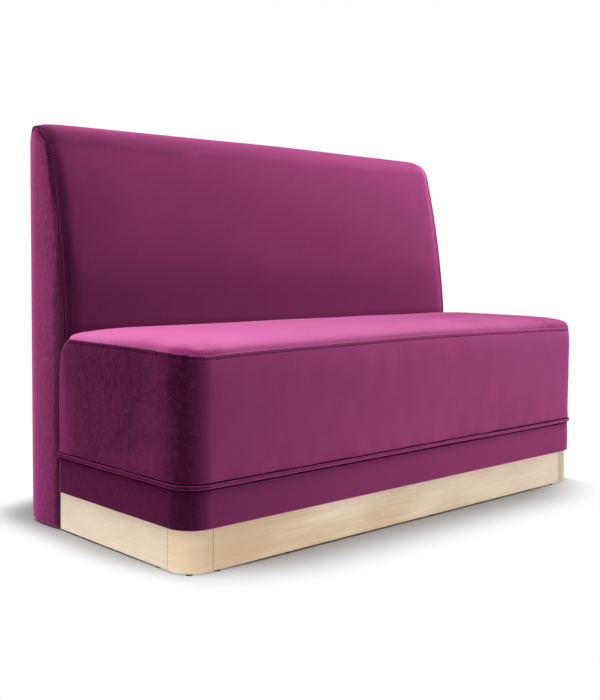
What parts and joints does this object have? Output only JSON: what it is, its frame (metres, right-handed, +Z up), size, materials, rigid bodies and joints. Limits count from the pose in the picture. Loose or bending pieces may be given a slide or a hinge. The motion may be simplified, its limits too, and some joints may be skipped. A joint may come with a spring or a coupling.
{
  "type": "restaurant booth seat",
  "caption": "Straight upholstered booth seat with a high curved back, a crowned velvet seat with welt, and a pale wood plinth on low glides.",
  "frame": {"origin": "on the floor under the middle of the overall box", "axes": "+X along the booth to the sitter's left, +Y from the seat's front to the back, +Z up"},
  "size_m": [1.327, 0.6243, 0.9129],
  "materials": {
    "pale_veneer": "pale maple veneer on plywood, satin lacquer",
    "plywood": "raw birch plywood",
    "softwood": "planed pine",
    "hardboard": "brown hardboard",
    "black_lining": "black spun lining cloth",
    "dark_plastic": "dark moulded glide",
    "webbing": "elastic webbing",
    "foam": "upholstery foam",
    "plum_velvet": "plum velvet with a pink sheen",
    "zinc_steel": "zinc plated"
  },
  "bodies": {
    "root": {"plinth_front_board": "pale_veneer", "plinth_left_board": "pale_veneer", "plinth_right_board": "pale_veneer", "plinth_corner_left": "pale_veneer", "plinth_corner_right": "pale_veneer", "plinth_rear_board": "plywood", "plinth_joint_blocks": "softwood", "plinth_bearers": "plywood", "joining_cleats": "softwood", "plinth_dust_cloth": "black_lining", "glides": "dark_plastic", "seat_front_panel": "plywood", "seat_left_panel": "plywood", "seat_right_panel": "plywood", "seat_corner_left": "plywood", "seat_corner_right": "plywood", "seat_rear_panel": "plywood", "seat_dividers": "plywood", "seat_corner_blocks": "softwood", "webbing_cross_straps": "webbing", "webbing_long_straps": "webbing", "seat_lining": "black_lining", "seat_foam": "foam", "seat_border": "plum_velvet", "seat_top_cover": "plum_velvet", "fascia_band": "plum_velvet", "seat_piping": "plum_velvet", "back_end_former_left": "plywood", "back_end_former_right": "plywood", "back_inner_formers": "plywood", "back_joining_rail": "softwood", "back_top_rail": "softwood", "back_middle_rail": "softwood", "back_bottom_board": "plywood", "back_front_board": "plywood", "back_rear_board": "hardboard", "back_foam": "foam", "back_front_cover": "plum_velvet", "back_side_cover_left": "plum_velvet", "back_side_cover_right": "plum_velvet", "back_rear_cover": "plum_velvet", "joining_screws": "zinc_steel", "screw_washers": "zinc_steel"}
  },
  "joints": []
}
